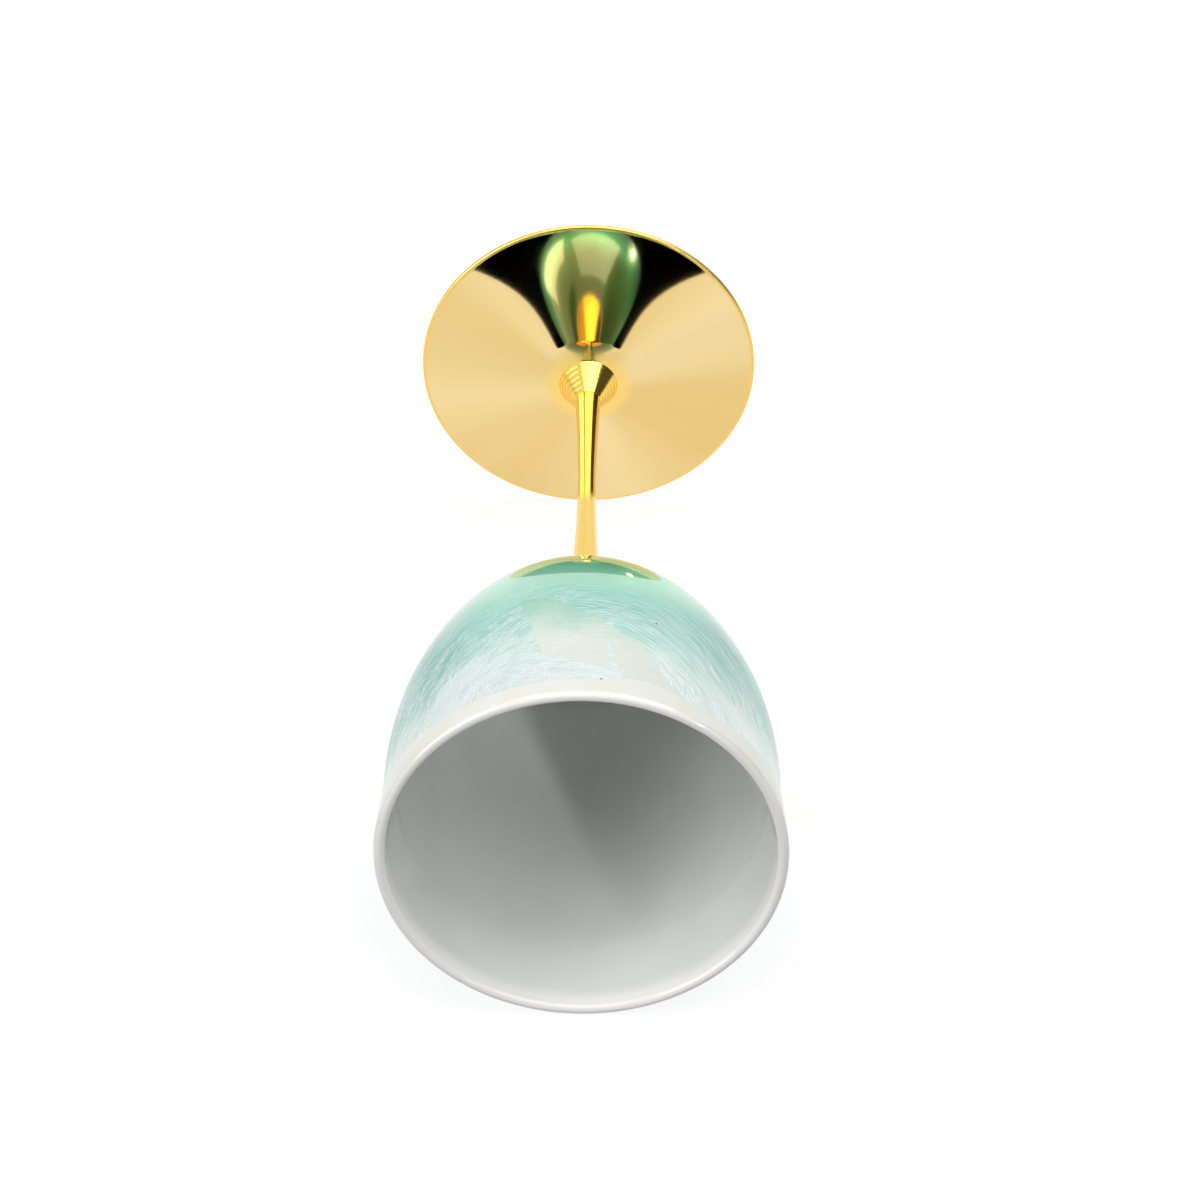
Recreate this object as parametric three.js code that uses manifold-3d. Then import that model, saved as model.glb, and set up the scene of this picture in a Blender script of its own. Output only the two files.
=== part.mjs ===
// A stemmed sake cup: a porcelain bowl bonded to a turned metal stem, which a nut clamps to a
// ringed collar and a thin conical foot. Millimetres, +Z up, origin in the middle of the foot's underside.

import * as THREE from 'three';
import * as BufferGeometryUtils from 'three/addons/utils/BufferGeometryUtils.js';
import Module from 'manifold-3d';

// Porcelain bowl: an upright half ellipse that flares gently to a rounded lip
const lipDiameter = 64;
const lipThickness = 1.8;
const flareHeight = 15;
const flareBendHeight = 3;
const bodyDiameter = 62;
const bodyDepth = 47.9;
const wallThickness = 2.1;
const floorThickness = 2;
const pegDiameter = 4;
const pegLength = 3.5;
const seatMargin = 0.15;

// Resin that bonds the peg in the stem's socket
const resinThickness = 0.3;
const resinClearance = 0.1;

// Stem: tapers from the collar to a waist, widens to a neck, and flares to a flat rim around the socket
const stemLength = 63.2;
const stemTaperLength = 30.3;
const stemWaistDiameter = 3;
const stemNeckDiameter = 4.2;
const stemFlareHeight = 15;
const stemFlareBendHeight = 6;
const stemRimWidth = 7.5;
const stemRimThickness = 0.7;
const stemShoulderWidth = 0.5;

// Threaded tenon under the stem, plain at the thread's outer diameter
const tenonDiameter = 3;
const tenonClearance = 0.1;
const tenonProjection = 0.4;

// Ringed collar
const collarHeight = 5.3;
const collarStepWidth = 0.25;
const collarFlareWidth = 2.85;
const collarRings = 6;
const ringGrooveWidth = 0.25;
const ringGrooveDepth = 0.16;

// Foot: a thin cone with a flat top land, a rounded edge and a turned-in hem
const footDiameter = 57.4;
const footHeight = 6.4;
const footEdgeThickness = 0.9;
const footSheetThickness = 0.8;
const footHemWidth = 2.8;
const footInnerSlope = THREE.MathUtils.degToRad(16.5);
const footEdgeSlope = THREE.MathUtils.degToRad(16);
const landMargin = 2.3;

// Washers and thin nut under the foot
const washerWidth = 1.9;
const washerThickness = 0.5;
const lockWasherWidth = 1.4;
const lockWasherThickness = 0.6;
const lockWasherGap = 0.7;
const nutWallWidth = 1.15;
const nutHeight = 1.8;
const nutSides = 6;
const nutChamfer = THREE.MathUtils.degToRad(30);

// Facets around the axis and along each curve, and how near two points are the same one
const wideFacets = 48;
const slimFacets = 36;
const bowlSteps = 16;
const flareSteps = 4;
const roundSteps = 6;
const stemSteps = 10;
const footSteps = 9;
const samePoint = 1e-4;
const quarterTurn = Math.PI / 2;

// Radii that several pieces share
const lipRadius = lipDiameter / 2;
const lipRound = lipThickness / 2;
const bodyRadius = bodyDiameter / 2;
const pegRadius = pegDiameter / 2;
const resinInner = pegRadius + resinClearance;
const resinOuter = resinInner + resinThickness;
const socketRadius = resinOuter + resinClearance;
const stemTopRadius = socketRadius + stemRimWidth;
const seatRadius = stemTopRadius + seatMargin;
const tenonRadius = tenonDiameter / 2;
const boreRadius = tenonRadius + tenonClearance;
const stemBottomRadius = tenonRadius + stemShoulderWidth;
const collarTopRadius = stemBottomRadius + collarStepWidth;
const collarBaseRadius = collarTopRadius + collarFlareWidth;
const landRadius = collarBaseRadius + landMargin;
const footRadius = footDiameter / 2;
const footEdgeRound = footEdgeThickness / 2;

// Levels, stacked upwards from the foot's land
const collarTop = footHeight + collarHeight;
const waistLevel = collarTop + stemTaperLength;
const seatLevel = collarTop + stemLength;
const bellyLevel = seatLevel + bodyDepth * Math.sqrt(1 - (seatRadius / bodyRadius) ** 2);
const lipLevel = bellyLevel + flareHeight;
const pegBottom = seatLevel - pegLength;
const socketFloor = pegBottom - resinClearance - resinThickness;

// Levels, stacked downwards from the land's underside
const washerTop = footHeight - footSheetThickness;
const lockWasherTop = washerTop - washerThickness;
const nutTop = lockWasherTop - lockWasherThickness;
const nutBottom = nutTop - nutHeight;
const tenonEnd = nutBottom - tenonProjection;

const point = (radius, height) => new THREE.Vector2(radius, height);

// Points on an ellipse about (centreRadius, centreHeight), from one angle to another
function arc(centreRadius, centreHeight, radiusAcross, radiusUp, from, to, steps) {
  return Array.from({ length: steps + 1 }, (_, i) => {
    const angle = THREE.MathUtils.lerp(from, to, i / steps);
    const across = centreRadius + radiusAcross * Math.cos(angle);
    return point(across, centreHeight + radiusUp * Math.sin(angle));
  });
}

// Points on a bend between two ends, drawn towards a third point
function bend(start, pull, end, steps) {
  return new THREE.QuadraticBezierCurve(start, pull, end).getPoints(steps);
}

// A solid turned about +Z from a profile of (radius, height) points that runs upwards on its outside
function turned(profile, facets) {
  const distinct = profile.filter((p, i) => i === 0 || p.distanceTo(profile[i - 1]) > samePoint);
  return new THREE.LatheGeometry(distinct, facets).rotateX(quarterTurn);
}

// A ring turned about +Z: its profile closes on itself
function turnedRing(profile, facets) {
  return turned([...profile, profile[0].clone()], facets);
}

// Metal and glaze
const gold = new THREE.MeshStandardMaterial({ color: 0xe3ad3c, roughness: 0.08, metalness: 1 });
const steel = new THREE.MeshStandardMaterial({ color: 0xb4b6b8, roughness: 0.3, metalness: 1 });
const glaze = new THREE.MeshStandardMaterial({ color: 0xa9d8c4, roughness: 0.1, metalness: 0 });
const resin = new THREE.MeshStandardMaterial({ color: 0xd9c9a0, roughness: 0.35, metalness: 0 });

const cup = new THREE.Group();

function addPiece(name, geometry, material) {
  const mesh = new THREE.Mesh(geometry, material);
  mesh.name = name;
  cup.add(mesh);
}

// Bowl: peg, flat seat, outside curve, flare, round lip, then back down the inside to the floor
const innerRadius = bodyRadius - wallThickness;
const innerDepth = bellyLevel - seatLevel - floorThickness;
const lipCentre = lipLevel - lipRound;
const flareBend = bellyLevel + flareBendHeight;
const lipInnerRadius = lipRadius - lipThickness;
const outerBelly = point(bodyRadius, bellyLevel);
const innerBelly = point(innerRadius, bellyLevel);
addPiece('bowl', turned([
  point(0, pegBottom),
  point(pegRadius, pegBottom),
  point(pegRadius, seatLevel),
  ...arc(0, bellyLevel, bodyRadius, bodyDepth, -Math.acos(seatRadius / bodyRadius), 0, bowlSteps),
  ...bend(outerBelly, point(bodyRadius, flareBend), point(lipRadius, lipCentre), flareSteps),
  ...arc(lipRadius - lipRound, lipCentre, lipRound, lipRound, 0, Math.PI, roundSteps),
  ...bend(point(lipInnerRadius, lipCentre), point(innerRadius, flareBend), innerBelly, flareSteps),
  ...arc(0, bellyLevel, innerRadius, innerDepth, 0, -quarterTurn, bowlSteps),
], wideFacets), glaze);

// Resin: a thin cup around the peg, standing on the socket's floor
addPiece('bowl_adhesive', turned([
  point(0, socketFloor),
  point(resinOuter, socketFloor),
  point(resinOuter, seatLevel - resinClearance),
  point(resinInner, seatLevel - resinClearance),
  point(resinInner, socketFloor + resinThickness),
  point(0, socketFloor + resinThickness),
], slimFacets), resin);

// Stem: tenon, shoulder on the collar, waisted shaft, flare to the rim under the bowl, socket
const waistRadius = stemWaistDiameter / 2;
const neckRadius = stemNeckDiameter / 2;
const neckLevel = seatLevel - stemFlareHeight;
const flareBendLevel = seatLevel - stemFlareBendHeight;
const waist = point(waistRadius, waistLevel);
const neck = point(neckRadius, neckLevel);
const collarToWaist = point(waistRadius, (collarTop + waistLevel) / 2);
const waistToNeck = point(waistRadius, (waistLevel + neckLevel) / 2);
const neckSlope = (neckRadius - waistRadius) / (neckLevel - waistToNeck.y);
const neckToRim = point(neckRadius + neckSlope * (flareBendLevel - neckLevel), flareBendLevel);
addPiece('stem', turned([
  point(0, tenonEnd),
  point(tenonRadius, tenonEnd),
  point(tenonRadius, collarTop),
  ...bend(point(stemBottomRadius, collarTop), collarToWaist, waist, stemSteps),
  ...bend(waist, waistToNeck, neck, stemSteps),
  ...bend(neck, neckToRim, point(stemTopRadius, seatLevel - stemRimThickness), stemSteps),
  point(stemTopRadius, seatLevel),
  point(socketRadius, seatLevel),
  point(socketRadius, socketFloor),
  point(0, socketFloor),
], slimFacets), gold);

// A point at a height on the collar's cone, or below it by a depth
function onCollar(height, depth) {
  const radius = THREE.MathUtils.mapLinear(height, footHeight, collarTop, collarBaseRadius, collarTopRadius);
  return point(radius - depth, height);
}

// Collar: rings that shrink towards the stem as a cone does, with a fine groove between them
const ringPitch = (collarHeight + ringGrooveWidth) / collarRings;
const collarProfile = [];
for (let ring = 0; ring < collarRings; ring += 1) {
  const ringBottom = footHeight + ringPitch * ring;
  if (ring > 0) {
    collarProfile.push(onCollar(ringBottom - ringGrooveWidth / 2, ringGrooveDepth));
  }
  collarProfile.push(onCollar(ringBottom, 0), onCollar(ringBottom + ringPitch - ringGrooveWidth, 0));
}
addPiece('ringed_collar', turnedRing([
  point(boreRadius, footHeight),
  ...collarProfile,
  point(boreRadius, collarTop),
], slimFacets), gold);

// Height of the foot's upper face at a radius, from its land to its edge
const footRun = footRadius - footEdgeRound - landRadius;
function footFace(radius) {
  const t = (radius - landRadius) / footRun;
  const drop = footHeight - footEdgeThickness;
  const eased = t * t * (3 - 2 * t);
  const innerPull = t * (1 - t) ** 2 * footRun * Math.tan(footInnerSlope);
  const edgePull = t * t * (1 - t) * footRun * Math.tan(footEdgeSlope);
  return footHeight - drop * eased - innerPull + edgePull;
}

// The foot's upper face between two radii, lowered by a given amount
function footCurve(from, to, lowered) {
  return Array.from({ length: footSteps + 1 }, (_, i) => {
    const radius = THREE.MathUtils.lerp(from, to, i / footSteps);
    return point(radius, footFace(radius) - lowered);
  });
}

// Foot: hem on the table, round edge, upper face, land, bore, underside
const hemInner = footRadius - footHemWidth;
const edgeCentre = footRadius - footEdgeRound;
addPiece('foot', turnedRing([
  point(hemInner, 0),
  ...arc(edgeCentre, footEdgeRound, footEdgeRound, footEdgeRound, -quarterTurn, quarterTurn, roundSteps),
  ...footCurve(edgeCentre, landRadius, 0),
  point(boreRadius, footHeight),
  point(boreRadius, washerTop),
  ...footCurve(landRadius, hemInner, footSheetThickness),
], wideFacets), gold);

// Flat washer
const washerRadius = boreRadius + washerWidth;
addPiece('foot_washer', turnedRing([
  point(boreRadius, lockWasherTop),
  point(washerRadius, lockWasherTop),
  point(washerRadius, washerTop),
  point(boreRadius, washerTop),
], slimFacets), steel);

// Split spring washer, pressed flat by the nut: a ring with a gap
const lockWasherRadius = boreRadius + lockWasherWidth;
const gapAngle = lockWasherGap / lockWasherRadius;
const splitRing = new THREE.Shape();
splitRing.absarc(0, 0, lockWasherRadius, gapAngle / 2, 2 * Math.PI - gapAngle / 2, false);
splitRing.absarc(0, 0, boreRadius, 2 * Math.PI - gapAngle / 2, gapAngle / 2, true);
splitRing.closePath();
addPiece('foot_lock_washer', new THREE.ExtrudeGeometry(splitRing, {
  depth: lockWasherThickness,
  bevelEnabled: false,
  curveSegments: slimFacets / 2,
}).translate(0, 0, nutTop), steel);

// Nut: a hexagon whose corners a turned cone rounds off, bored for the tenon
const wasm = await Module();
wasm.setup();

function solidOf(geometry) {
  const bare = new THREE.BufferGeometry().setAttribute('position', geometry.getAttribute('position'));
  const merged = BufferGeometryUtils.mergeVertices(bare.setIndex(geometry.getIndex()), samePoint);
  const vertProperties = new Float32Array(merged.getAttribute('position').array);
  const triVerts = new Uint32Array(merged.getIndex().array);
  return new wasm.Manifold(new wasm.Mesh({ numProp: 3, vertProperties, triVerts }));
}

function geometryOf(solid) {
  const mesh = solid.getMesh();
  const geometry = new THREE.BufferGeometry();
  geometry.setAttribute('position', new THREE.BufferAttribute(mesh.vertProperties, 3));
  geometry.setIndex(new THREE.BufferAttribute(mesh.triVerts, 1));
  geometry.computeVertexNormals();
  return geometry;
}

const nutFlat = boreRadius + nutWallWidth;
const nutCorner = nutFlat / Math.cos(Math.PI / nutSides);
const cornerDrop = (nutCorner - nutFlat) * Math.tan(nutChamfer);
const hexagon = new THREE.Shape(Array.from({ length: nutSides }, (_, i) => {
  const angle = 2 * Math.PI * i / nutSides;
  return point(nutCorner * Math.cos(angle), nutCorner * Math.sin(angle));
}));
hexagon.holes.push(new THREE.Path().absarc(0, 0, boreRadius, 0, 2 * Math.PI, true));
const nutBlank = new THREE.ExtrudeGeometry(hexagon, {
  depth: nutHeight,
  bevelEnabled: false,
  curveSegments: slimFacets / 2,
}).translate(0, 0, nutBottom);
const chamferCone = turned([
  point(0, nutBottom),
  point(nutFlat, nutBottom),
  point(nutCorner, nutBottom + cornerDrop),
  point(nutCorner, nutTop - cornerDrop),
  point(nutFlat, nutTop),
  point(0, nutTop),
], slimFacets);
addPiece('foot_nut', geometryOf(solidOf(nutBlank).intersect(solidOf(chamferCone))), steel);

export default cup;
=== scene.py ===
# %% [markdown]
# # A stemmed sake cup
# A porcelain bowl with silver leaf under green glaze stands on a gilded stem, a ringed collar and a
# thin conical foot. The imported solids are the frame: they give every size and place, in metres with
# +Z up. This lesson turns finer pieces over them and gives each surface its finish.

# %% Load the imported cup
import math
import bmesh
import bpy
from mathutils import Matrix, Vector


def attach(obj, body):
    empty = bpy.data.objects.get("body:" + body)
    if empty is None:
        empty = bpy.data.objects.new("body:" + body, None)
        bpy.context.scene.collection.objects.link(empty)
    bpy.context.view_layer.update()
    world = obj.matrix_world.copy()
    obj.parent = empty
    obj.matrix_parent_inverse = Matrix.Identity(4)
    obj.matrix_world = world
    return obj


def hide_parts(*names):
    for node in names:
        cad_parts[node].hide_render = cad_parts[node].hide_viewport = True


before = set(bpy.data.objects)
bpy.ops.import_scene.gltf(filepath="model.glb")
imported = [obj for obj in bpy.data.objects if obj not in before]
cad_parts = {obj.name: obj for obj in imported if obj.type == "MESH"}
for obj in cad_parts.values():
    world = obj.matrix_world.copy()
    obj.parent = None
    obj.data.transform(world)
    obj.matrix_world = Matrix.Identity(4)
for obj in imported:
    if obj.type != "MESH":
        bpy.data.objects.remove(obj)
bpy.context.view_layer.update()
scene = bpy.context.scene
scene.view_settings.view_transform = "Standard"
print("solids:", sorted(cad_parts))

# %% [markdown]
# ## Camera
# The photograph looks into the mouth from the side, with the foot at the top. Because the cup stands
# upright in its own frame, the camera is the thing that tips: it hangs upside down above the front,
# on a long lens. It could be aimed with a tracking constraint, but three axes written as the columns
# of a matrix show plainly which way is right, up and back.

# %% Hang the camera
MM = 0.001
view_tilt = math.radians(36.714)
view_roll = math.radians(0.63)
view_distance = 898.97
view_target = Vector((-2.431, 0, 68.6))
view_lens = 165
view_sensor = 36

view_back = Vector((0, -math.sin(view_tilt), math.cos(view_tilt)))
level_right = Vector((-1, 0, 0))
level_up = view_back.cross(level_right)
view_right = math.cos(view_roll) * level_right + math.sin(view_roll) * level_up
view_up = view_back.cross(view_right)

camera_lens = bpy.data.cameras.new("cup_camera")
camera_lens.lens = view_lens
camera_lens.sensor_width = view_sensor
camera_lens.clip_start = 0.01
camera_lens.clip_end = 20
camera = bpy.data.objects.new("cup_camera", camera_lens)
camera.matrix_world = Matrix.Translation((view_target + view_distance * view_back) * MM) @ Matrix(
    (view_right, view_up, view_back)).transposed().to_4x4()
scene.collection.objects.link(camera)
scene.camera = camera
print("camera at", [round(x, 3) for x in camera.location])

# %% [markdown]
# ## Placing shader nodes
# A material is a small graph. Made by hand each node takes several clicks, and in code several lines,
# so these helpers place one node, fill or link its sockets, and hand back the output. Colours are
# written as the eye reads them on a screen and turned into linear light once, here.

# %% Helpers for shader nodes
def shade(red, green, blue):
    """A screen colour, 0 to 255, as linear red, green, blue and full alpha."""
    def linear(value):
        value /= 255
        return value / 12.92 if value <= 0.04045 else ((value + 0.055) / 1.055) ** 2.4
    return (linear(red), linear(green), linear(blue), 1)


def place(tree, kind, sockets=None, **settings):
    """One node with its settings, its sockets linked or filled."""
    node = tree.nodes.new(kind)
    for name, value in settings.items():
        setattr(node, name, value)
    for name, value in (sockets or {}).items():
        if isinstance(value, bpy.types.NodeSocket):
            tree.links.new(value, node.inputs[name])
        else:
            node.inputs[name].default_value = value
    return node


def reckon(tree, operation, *values):
    """The result of one Math node."""
    return place(tree, "ShaderNodeMath", dict(enumerate(values)), operation=operation).outputs[0]


def reckon_vector(tree, operation, *values):
    """The outputs of one Vector Math node, Vector and Value."""
    return place(tree, "ShaderNodeVectorMath", dict(enumerate(values)), operation=operation).outputs


print("middle grey in linear light:", round(shade(128, 128, 128)[0], 3))

# %% [markdown]
# ## Where on the cup
# Leaf, glaze edges and turning lines follow the cup's own axis, so all finishes ask the same thing of
# a point: how far round from the front it is, how high, and how far out. UV maps could carry that, but
# object coordinates already hold it and need no unwrapping. One group works it out in millimetres.

# %% Group: where on the cup
FLOAT, VECTOR = "NodeSocketFloat", "NodeSocketVector"
BOWL_RADIUS = 31.0


def node_group(name, takes, gives):
    """An empty shader node group with named sockets, and its two ends."""
    tree = bpy.data.node_groups.new(name, "ShaderNodeTree")
    for way, sockets in (("INPUT", takes), ("OUTPUT", gives)):
        for socket, kind in sockets.items():
            tree.interface.new_socket(socket, in_out=way, socket_type=kind)
    return tree, tree.nodes.new("NodeGroupInput").outputs, tree.nodes.new("NodeGroupOutput").inputs


where_group, _, give = node_group("where_on_cup", {}, {
    "Point": VECTOR, "Heading": VECTOR, "Around": FLOAT, "Up": FLOAT, "Out": FLOAT})
metres = where_group.nodes.new("ShaderNodeTexCoord").outputs["Object"]
point_mm = place(where_group, "ShaderNodeVectorMath", {
    0: metres, "Scale": 1000.0}, operation="SCALE").outputs[0]
axes = place(where_group, "ShaderNodeSeparateXYZ", {0: point_mm}).outputs
towards_front = reckon(where_group, "MULTIPLY", axes["Y"], -1.0)
turn = reckon(where_group, "ARCTAN2", axes["X"], towards_front)
flat_point = place(where_group, "ShaderNodeCombineXYZ", {"X": axes["X"], "Y": axes["Y"]}).outputs[0]
for socket, value in {
    "Point": point_mm,
    "Heading": reckon_vector(where_group, "NORMALIZE", flat_point)["Vector"],
    "Around": reckon(where_group, "MULTIPLY", turn, BOWL_RADIUS),
    "Up": axes["Z"],
    "Out": reckon_vector(where_group, "LENGTH", flat_point)["Value"],
}.items():
    where_group.links.new(value, give[socket])
print("group:", where_group.name, [s.name for s in where_group.interface.items_tree])

# %% [markdown]
# ## Handling marks and specks
# A cup that is picked up carries faint smudges, which show only as a change of gloss, and fired glaze
# has the odd dark pinhole of iron. Both turn up on several finishes, so each is a group: smudges from
# two sizes of noise, specks from the few points of a wide scatter that lie close to a surface.

# %% Group: smudges
RIDGE_STRETCH = (1.3, 0.4, 2.1)


def ease(tree, value, low, high, start=0.0, end=1.0):
    """Runs smoothly from start to end while the value goes from low to high."""
    return place(tree, "ShaderNodeMapRange", {
        "Value": value, "From Min": low, "From Max": high, "To Min": start, "To Max": end,
    }, interpolation_type="SMOOTHSTEP").outputs["Result"]


def cloud(tree, point, scale, detail=2.0, roughness=0.5):
    """Soft noise between 0 and 1."""
    return place(tree, "ShaderNodeTexNoise", {
        "Vector": point, "Scale": scale, "Detail": detail, "Roughness": roughness,
    }).outputs[0]


smudge_group, take, give = node_group("handling_smudges", {
    "Point": VECTOR, "Size": FLOAT}, {"Smudge": FLOAT})
finger_rate = reckon(smudge_group, "DIVIDE", 1.0, take["Size"])
broad = cloud(smudge_group, take["Point"], finger_rate, 3.0, 0.55)
ridge_point = reckon_vector(smudge_group, "MULTIPLY", take["Point"], RIDGE_STRETCH)["Vector"]
ridges = cloud(smudge_group, ridge_point, finger_rate, 5.0, 0.7)
broad_mask = ease(smudge_group, broad, 0.42, 0.68)
ridge_mask = ease(smudge_group, ridges, 0.35, 0.65)
smudge_group.links.new(reckon(smudge_group, "MULTIPLY", broad_mask, ridge_mask), give["Smudge"])
print("group:", smudge_group.name)

# %% Group: specks
SPECK_CORE = 0.5

speck_group, take, give = node_group("iron_specks", {
    "Point": VECTOR, "Spacing": FLOAT, "Radius": FLOAT}, {"Speck": FLOAT})
speck_rate = reckon(speck_group, "DIVIDE", 1.0, take["Spacing"])
speck_scatter = place(speck_group, "ShaderNodeTexVoronoi", {
    "Vector": take["Point"], "Scale": speck_rate, "Randomness": 1.0})
speck_distance = reckon(speck_group, "MULTIPLY", speck_scatter.outputs["Distance"], take["Spacing"])
speck_core = reckon(speck_group, "MULTIPLY", take["Radius"], SPECK_CORE)
speck_group.links.new(ease(speck_group, speck_distance, take["Radius"], speck_core), give["Speck"])
print("group:", speck_group.name)

# %% [markdown]
# ## Silver leaf, laid and stroked down
# The leaf is thinner than paper, so it wrinkles as it is pressed onto the bowl. The photograph shows
# its hairlines as broken arcs about a point on the front lip, as a brush leaves them, and a second set
# that crosses them. A plain wave would give whole circles: here the distance from the point is counted
# in lines, and noise that changes from line to line decides which parts of each line are there. The
# back gets arcs about a point of its own.

# %% Group: leaf strokes
STROKE_CENTRES = ((0, -33, 136), (5, 38, 140))
PART_RATE, PART_SLANT_X, PART_SLANT_Y = 0.24, 0.16, -0.13


def wander(tree, point, scale, reach, detail=1.0, roughness=0.5, spread=(0.2, 0.8)):
    """Noise that moves a value up and down by a reach."""
    return ease(tree, cloud(tree, point, scale, detail, roughness), *spread, -reach, reach)


stroke_group, take, give = node_group("leaf_strokes", {
    "Point": VECTOR}, {"Stroke": FLOAT, "Crease": FLOAT})
slow_wander = wander(stroke_group, take["Point"], 0.11, 0.9)
quick_wander = wander(stroke_group, take["Point"], 0.5, 0.13)
line_wander = reckon(stroke_group, "ADD", slow_wander, quick_wander)
axes = place(stroke_group, "ShaderNodeSeparateXYZ", {0: take["Point"]}).outputs
slant_x = reckon(stroke_group, "MULTIPLY", axes["Z"], PART_SLANT_X)
slant_y = reckon(stroke_group, "MULTIPLY", axes["Z"], PART_SLANT_Y)
along_x = reckon(stroke_group, "MULTIPLY_ADD", axes["X"], PART_RATE, slant_x)
along_y = reckon(stroke_group, "MULTIPLY_ADD", axes["Y"], PART_RATE, slant_y)
print("group:", stroke_group.name, "about", len(STROKE_CENTRES), "points")

# %% Draw the hairlines
NO_SHIFT, CROSSING_SHIFT = Vector((0, 0, 0)), Vector((11, -1, 15))
CENTRE_BLEND, LINE_STEP, PART_SOFT = 4.0, 5.3, 0.1


def hairlines(shift, lines_per_mm, half_width, broken):
    """Broken lines along arcs about the stroke centres. More of them is missing as broken grows."""
    reach = None
    for centre in STROKE_CENTRES:
        away = reckon_vector(stroke_group, "DISTANCE", take["Point"], Vector(centre) + shift)["Value"]
        reach = away if reach is None else reckon(stroke_group, "SMOOTH_MIN", reach, away, CENTRE_BLEND)
    count = reckon(stroke_group, "MULTIPLY", reckon(stroke_group, "ADD", reach, line_wander), lines_per_mm)
    off_line = reckon(stroke_group, "SUBTRACT", reckon(stroke_group, "FRACT", count), 0.5)
    line = ease(stroke_group, reckon(stroke_group, "ABSOLUTE", off_line), half_width, half_width / 3)
    line_number = reckon(stroke_group, "MULTIPLY", reckon(stroke_group, "FLOOR", count), LINE_STEP)
    along = place(stroke_group, "ShaderNodeCombineXYZ", {
        "X": along_x, "Y": along_y, "Z": line_number}).outputs[0]
    part = ease(stroke_group, cloud(stroke_group, along, 1.0, 1.0), broken, broken + PART_SOFT)
    return reckon(stroke_group, "MULTIPLY", line, part)


main_lines = hairlines(NO_SHIFT, 1.95, 0.21, 0.42)
crossing_lines = hairlines(CROSSING_SHIFT, 1.75, 0.18, 0.45)
stroke_group.links.new(reckon(stroke_group, "MAXIMUM", main_lines, crossing_lines), give["Stroke"])
stroke_group.links.new(hairlines(-CROSSING_SHIFT, 0.5, 0.07, 0.55), give["Crease"])
print("strokes and creases:", len(stroke_group.nodes), "nodes")

# %% [markdown]
# ## Green glaze over the leaf
# The outside is read from the bottom up: deep green where the glaze ran and pooled, mint at the belly
# and bare silver towards the lip, with teal on both flanks. It could be painted on an unwrapped map,
# but the colour follows the height so closely that a ramp over the height does it. Noise moves that
# height up and down, because glaze never runs evenly.

# %% Helpers for finishes
def new_finish(name):
    """An empty material: its node tree and its output's sockets."""
    material = bpy.data.materials.new(name)
    material.use_nodes = True
    tree = material.node_tree
    tree.nodes.clear()
    return material, tree, tree.nodes.new("ShaderNodeOutputMaterial").inputs


def use_group(tree, group, sockets=None):
    """The outputs of a node group placed in a material."""
    return place(tree, "ShaderNodeGroup", sockets, node_tree=group).outputs


def ramp(tree, value, stops):
    """A colour that runs through stops of (position, colour)."""
    node = place(tree, "ShaderNodeValToRGB", {"Fac": value})
    elements = node.color_ramp.elements
    while len(elements) < len(stops):
        elements.new(1)
    for element, (position, colour) in zip(elements, stops):
        element.position = position
        element.color = colour
    return node.outputs["Color"]


def mingle(tree, share, first, second):
    """The first colour, going over to the second as the share goes to 1."""
    return place(tree, "ShaderNodeMix", {0: share, 6: first, 7: second}, data_type="RGBA").outputs[2]


print("groups to use:", sorted(group.name for group in bpy.data.node_groups))

# %% Finish: leaf under green glaze
GLAZE_BOTTOM, GLAZE_TOP = 74.0, 132.0
GLAZE_STOPS = (
    (76, shade(88, 132, 62)), (82, shade(102, 156, 88)), (87, shade(110, 194, 136)),
    (91, shade(110, 228, 168)), (96, shade(136, 238, 192)), (101, shade(150, 226, 199)),
    (106, shade(141, 217, 194)), (111, shade(148, 213, 197)), (116, shade(178, 223, 211)),
    (121, shade(221, 241, 234)), (127, shade(241, 249, 246)), (131, shade(238, 246, 244)),
)
GLAZE_RUN, GLAZE_MOTTLE = 3.0, 0.9

leaf_glaze, tree, output = new_finish("leaf_under_green_glaze")
where = use_group(tree, where_group)
point, around, up = where["Point"], where["Around"], where["Up"]
run_down = wander(tree, point, 0.07, GLAZE_RUN, 2.0)
mottle = wander(tree, point, 0.45, GLAZE_MOTTLE, 2.0)
glaze_height = reckon(tree, "ADD", reckon(tree, "ADD", up, run_down), mottle)
glaze_share = place(tree, "ShaderNodeMapRange", {
    "Value": glaze_height, "From Min": GLAZE_BOTTOM, "From Max": GLAZE_TOP}).outputs["Result"]
glaze_colour = ramp(tree, glaze_share, [
    ((z - GLAZE_BOTTOM) / (GLAZE_TOP - GLAZE_BOTTOM), colour) for z, colour in GLAZE_STOPS])
print("glaze:", len(GLAZE_STOPS), "colours from", GLAZE_BOTTOM, "to", GLAZE_TOP, "mm up")

# %% Tint the flanks
LEAF_TEAL = shade(40, 160, 142)
FLANK, TEAL_STARTS, TEAL_ENDS = (13, 29), (91, 106), (131, 111)
TEAL_LEAN, TEAL_SHARE = -0.115, 0.9

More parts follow.
